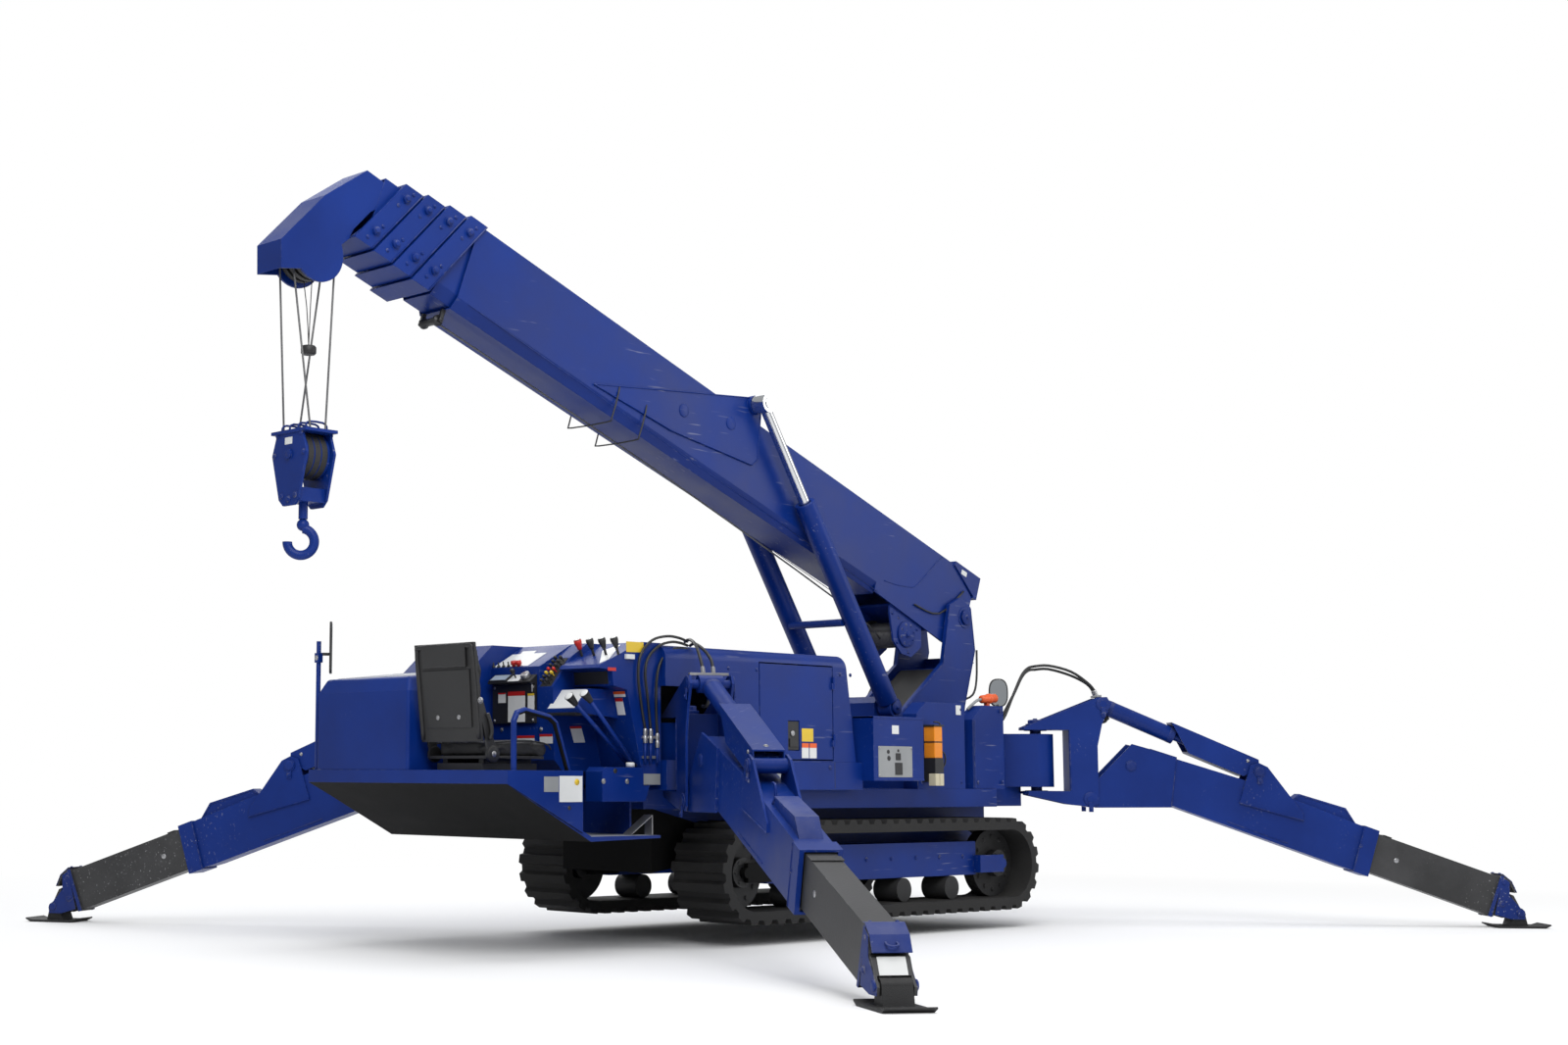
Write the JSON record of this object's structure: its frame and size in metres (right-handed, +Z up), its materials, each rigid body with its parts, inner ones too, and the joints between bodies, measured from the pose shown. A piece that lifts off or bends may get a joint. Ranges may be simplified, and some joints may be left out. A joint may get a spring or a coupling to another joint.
{
  "type": "tracked spider crane",
  "caption": "Compact crawler crane with a telescopic boom on a slewing column, a hook block and hinged, extending outrigger legs.",
  "frame": {"origin": "ground under the pads, at the middle of the whole outline", "axes": "+X toward the slewing column's end, +Y to the machine's left, +Z up"},
  "size_m": [6.7828, 5.8508, 3.4425],
  "materials": {
    "blue_paint": "glossy enamel, scuffed at the edges",
    "track_rubber": "moulded rubber, worn",
    "cast_black": "black paint over iron",
    "black_plastic": "moulded plastic",
    "engine_grey": "plain",
    "black_steel": "satin black",
    "seat_vinyl": "grained vinyl",
    "amber_lens": "clear coloured lens",
    "chrome_rod": "hard chrome",
    "wire_rope": "greased strands",
    "bare_steel": "dark bare steel, scratched",
    "pad_steel": "worn dark steel"
  },
  "bodies": {
    "chassis": {"track_left": "track_rubber", "track_right": "track_rubber", "undercarriage": "blue_paint", "track_wheels": "cast_black", "platform": "blue_paint", "tank_hood": "blue_paint", "console": "blue_paint", "control_box": "black_steel", "control_levers": "black_plastic", "engine_cover": "blue_paint", "engine_block": "engine_grey", "side_box": "blue_paint", "front_covers": "blue_paint", "seat_frame": "black_steel", "seat_pads": "seat_vinyl", "view_mirror": "blue_paint", "beacon": "amber_lens"},
    "door": {"engine_door": "blue_paint"},
    "column": {"column": "blue_paint"},
    "boom_barrels": {"boom_barrels": "blue_paint"},
    "boom_rods": {"boom_rods": "chrome_rod"},
    "boom_base": {"boom_base": "blue_paint", "winch_frame": "blue_paint", "winch_drum": "cast_black"},
    "boom_2": {"boom_2": "blue_paint"},
    "boom_3": {"boom_3": "blue_paint"},
    "boom_4": {"boom_4": "blue_paint"},
    "boom_5": {"boom_5": "blue_paint", "boom_head": "blue_paint", "head_sheaves": "cast_black"},
    "hoist_falls": {"hoist_falls": "wire_rope"},
    "hook_block": {"hook_block": "blue_paint"},
    "hook": {"hook": "blue_paint"},
    "bracket_rear_left": {"bracket_rear_left": "blue_paint"},
    "leg_rear_left": {"leg_rear_left": "blue_paint"},
    "inner_rear_left": {"inner_rear_left": "bare_steel"},
    "pad_rear_left": {"pad_rear_left": "pad_steel"},
    "barrel_rear_left": {"barrel_rear_left": "blue_paint"},
    "rod_rear_left": {"rod_rear_left": "blue_paint"},
    "bracket_rear_right": {"bracket_rear_right": "blue_paint"},
    "leg_rear_right": {"leg_rear_right": "blue_paint"},
    "inner_rear_right": {"inner_rear_right": "bare_steel"},
    "pad_rear_right": {"pad_rear_right": "pad_steel"},
    "barrel_rear_right": {"barrel_rear_right": "blue_paint"},
    "rod_rear_right": {"rod_rear_right": "blue_paint"},
    "bracket_front_left": {"bracket_front_left": "blue_paint"},
    "leg_front_left": {"leg_front_left": "blue_paint"},
    "inner_front_left": {"inner_front_left": "bare_steel"},
    "pad_front_left": {"pad_front_left": "pad_steel"},
    "barrel_front_left": {"barrel_front_left": "blue_paint"},
    "rod_front_left": {"rod_front_left": "blue_paint"},
    "bracket_front_right": {"bracket_front_right": "blue_paint"},
    "leg_front_right": {"leg_front_right": "blue_paint"},
    "inner_front_right": {"inner_front_right": "bare_steel"},
    "pad_front_right": {"pad_front_right": "pad_steel"},
    "barrel_front_right": {"barrel_front_right": "blue_paint"},
    "rod_front_right": {"rod_front_right": "blue_paint"}
  },
  "joints": [
    {"name": "door_swing", "type": "hinge", "parent": "chassis", "child": "door", "pos_m": [-0.389, -0.6275, 1.09], "axis": [0, 0, 1], "range_deg": [0, 100]},
    {"name": "slew", "type": "hinge", "parent": "chassis", "child": "column", "pos_m": [0.9, 0, 1], "axis": [0, 0, 1], "continuous": true},
    {"name": "boom_lift", "type": "hinge", "parent": "column", "child": "boom_base", "pos_m": [1.339, 0, 1.68], "axis": [0, 1, 0], "range_deg": [-20.1, 59.9]},
    {"name": "boom_barrel_tilt", "type": "hinge", "parent": "column", "child": "boom_barrels", "pos_m": [0.594, 0, 1.154], "axis": [0, 1, 0], "range_deg": [-25, 55]},
    {"name": "boom_rod_slide", "type": "slide", "parent": "boom_barrels", "child": "boom_rods", "axis": [-0.5497, 0, 0.8354], "range_m": [-0.32, 0.9]},
    {"name": "boom_extend", "type": "slide", "parent": "boom_base", "child": "boom_2", "axis": [-0.9391, 0, 0.3437], "range_m": [0, 2.7]},
    {"name": "boom_extend_3", "type": "slide", "parent": "boom_2", "child": "boom_3", "axis": [-0.9391, 0, 0.3437], "range_m": [0, 2.7]},
    {"name": "boom_extend_4", "type": "slide", "parent": "boom_3", "child": "boom_4", "axis": [-0.9391, 0, 0.3437], "range_m": [0, 2.7]},
    {"name": "boom_extend_5", "type": "slide", "parent": "boom_4", "child": "boom_5", "axis": [-0.9391, 0, 0.3437], "range_m": [0, 2.7]},
    {"name": "falls_plumb", "type": "hinge", "parent": "boom_5", "child": "hoist_falls", "pos_m": [-3.17585, 0, 3.02765], "axis": [0, 1, 0], "range_deg": [-60, 20.5]},
    {"name": "hook_hoist", "type": "slide", "parent": "hoist_falls", "child": "hook_block", "axis": [0, 0, -1], "range_m": [-0.35, 1.5], "deforming": ["hoist_falls"]},
    {"name": "hook_swivel", "type": "hinge", "parent": "hook_block", "child": "hook", "pos_m": [-3.17585, 0, 1.94], "axis": [0, 0, 1], "continuous": true},
    {"name": "swing_rear_left", "type": "hinge", "parent": "chassis", "child": "bracket_rear_left", "pos_m": [-1.397, 0.59, 0.88], "axis": [0, 0, -1], "range_deg": [-20, 35]},
    {"name": "lift_rear_left", "type": "hinge", "parent": "bracket_rear_left", "child": "leg_rear_left", "pos_m": [-1.53761, 0.82401, 0.671], "axis": [0.8572, 0.515, 0], "range_deg": [0, 38]},
    {"name": "barrel_tilt_rear_left", "type": "hinge", "parent": "bracket_rear_left", "child": "barrel_rear_left", "pos_m": [-1.57881, 0.89258, 1.189], "axis": [0.8572, 0.515, 0], "range_deg": [-1, 45]},
    {"name": "rod_slide_rear_left", "type": "slide", "parent": "barrel_rear_left", "child": "rod_rear_left", "axis": [-0.4716, 0.7849, -0.4019], "range_m": [-0.38, 0.02]},
    {"name": "extend_rear_left", "type": "slide", "parent": "leg_rear_left", "child": "inner_rear_left", "axis": [-0.4844, 0.8062, -0.3396], "range_m": [-0.48, 0]},
    {"name": "pad_tilt_rear_left", "type": "hinge", "parent": "inner_rear_left", "child": "pad_rear_left", "pos_m": [-2.6949, 2.75006, 0.08], "axis": [-0.8572, -0.515, 0], "range_deg": [0, 12]},
    {"name": "swing_rear_right", "type": "hinge", "parent": "chassis", "child": "bracket_rear_right", "pos_m": [-1.397, -0.59, 0.88], "axis": [0, 0, 1], "range_deg": [-20, 35]},
    {"name": "lift_rear_right", "type": "hinge", "parent": "bracket_rear_right", "child": "leg_rear_right", "pos_m": [-1.53761, -0.82401, 0.671], "axis": [-0.8572, 0.515, 0], "range_deg": [0, 38]},
    {"name": "barrel_tilt_rear_right", "type": "hinge", "parent": "bracket_rear_right", "child": "barrel_rear_right", "pos_m": [-1.57881, -0.89258, 1.189], "axis": [-0.8572, 0.515, 0], "range_deg": [-1, 45]},
    {"name": "rod_slide_rear_right", "type": "slide", "parent": "barrel_rear_right", "child": "rod_rear_right", "axis": [-0.4716, -0.7849, -0.4019], "range_m": [-0.38, 0.02]},
    {"name": "extend_rear_right", "type": "slide", "parent": "leg_rear_right", "child": "inner_rear_right", "axis": [-0.4844, -0.8062, -0.3396], "range_m": [-0.48, 0]},
    {"name": "pad_tilt_rear_right", "type": "hinge", "parent": "inner_rear_right", "child": "pad_rear_right", "pos_m": [-2.6949, -2.75006, 0.08], "axis": [0.8572, -0.515, 0], "range_deg": [0, 12]},
    {"name": "swing_front_left", "type": "hinge", "parent": "chassis", "child": "bracket_front_left", "pos_m": [1.513, 0.5, 0.88], "axis": [0, 0, 1], "range_deg": [-20, 35]},
    {"name": "lift_front_left", "type": "hinge", "parent": "bracket_front_left", "child": "leg_front_left", "pos_m": [1.69919, 0.69966, 0.671], "axis": [0.7314, -0.682, 0], "range_deg": [0, 38]},
    {"name": "barrel_tilt_front_left", "type": "hinge", "parent": "bracket_front_left", "child": "barrel_front_left", "pos_m": [1.75375, 0.75817, 1.189], "axis": [0.7314, -0.682, 0], "range_deg": [-1, 45]},
    {"name": "rod_slide_front_left", "type": "slide", "parent": "barrel_front_left", "child": "rod_front_left", "axis": [0.6245, 0.6697, -0.4019], "range_m": [-0.38, 0.02]},
    {"name": "extend_front_left", "type": "slide", "parent": "leg_front_left", "child": "inner_front_left", "axis": [0.6415, 0.6879, -0.3396], "range_m": [-0.48, 0]},
    {"name": "pad_tilt_front_left", "type": "hinge", "parent": "inner_front_left", "child": "pad_front_left", "pos_m": [3.23164, 2.34301, 0.08], "axis": [-0.7314, 0.682, 0], "range_deg": [0, 12]},
    {"name": "swing_front_right", "type": "hinge", "parent": "chassis", "child": "bracket_front_right", "pos_m": [1.513, -0.5, 0.88], "axis": [0, 0, -1], "range_deg": [-20, 35]},
    {"name": "lift_front_right", "type": "hinge", "parent": "bracket_front_right", "child": "leg_front_right", "pos_m": [1.69919, -0.69966, 0.671], "axis": [-0.7314, -0.682, 0], "range_deg": [0, 38]},
    {"name": "barrel_tilt_front_right", "type": "hinge", "parent": "bracket_front_right", "child": "barrel_front_right", "pos_m": [1.75375, -0.75817, 1.189], "axis": [-0.7314, -0.682, 0], "range_deg": [-1, 45]},
    {"name": "rod_slide_front_right", "type": "slide", "parent": "barrel_front_right", "child": "rod_front_right", "axis": [0.6245, -0.6697, -0.4019], "range_m": [-0.38, 0.02]},
    {"name": "extend_front_right", "type": "slide", "parent": "leg_front_right", "child": "inner_front_right", "axis": [0.6415, -0.6879, -0.3396], "range_m": [-0.48, 0]},
    {"name": "pad_tilt_front_right", "type": "hinge", "parent": "inner_front_right", "child": "pad_front_right", "pos_m": [3.23164, -2.34301, 0.08], "axis": [0.7314, 0.682, 0], "range_deg": [0, 12]}
  ],
  "couplings": [
    {"joint": "boom_barrel_tilt", "follows": "boom_lift", "ratio": 0.865},
    {"joint": "boom_rod_slide", "follows": "boom_lift", "m_per_rad": 0.81},
    {"joint": "boom_extend_3", "follows": "boom_extend", "ratio": 1},
    {"joint": "boom_extend_4", "follows": "boom_extend", "ratio": 1},
    {"joint": "boom_extend_5", "follows": "boom_extend", "ratio": 1},
    {"joint": "falls_plumb", "follows": "boom_lift", "ratio": -1},
    {"joint": "barrel_tilt_rear_left", "follows": "lift_rear_left", "ratio": 1.06},
    {"joint": "rod_slide_rear_left", "follows": "lift_rear_left", "m_per_rad": -0.515},
    {"joint": "barrel_tilt_rear_right", "follows": "lift_rear_right", "ratio": 1.06},
    {"joint": "rod_slide_rear_right", "follows": "lift_rear_right", "m_per_rad": -0.515},
    {"joint": "barrel_tilt_front_left", "follows": "lift_front_left", "ratio": 1.06},
    {"joint": "rod_slide_front_left", "follows": "lift_front_left", "m_per_rad": -0.515},
    {"joint": "barrel_tilt_front_right", "follows": "lift_front_right", "ratio": 1.06},
    {"joint": "rod_slide_front_right", "follows": "lift_front_right", "m_per_rad": -0.515}
  ]
}
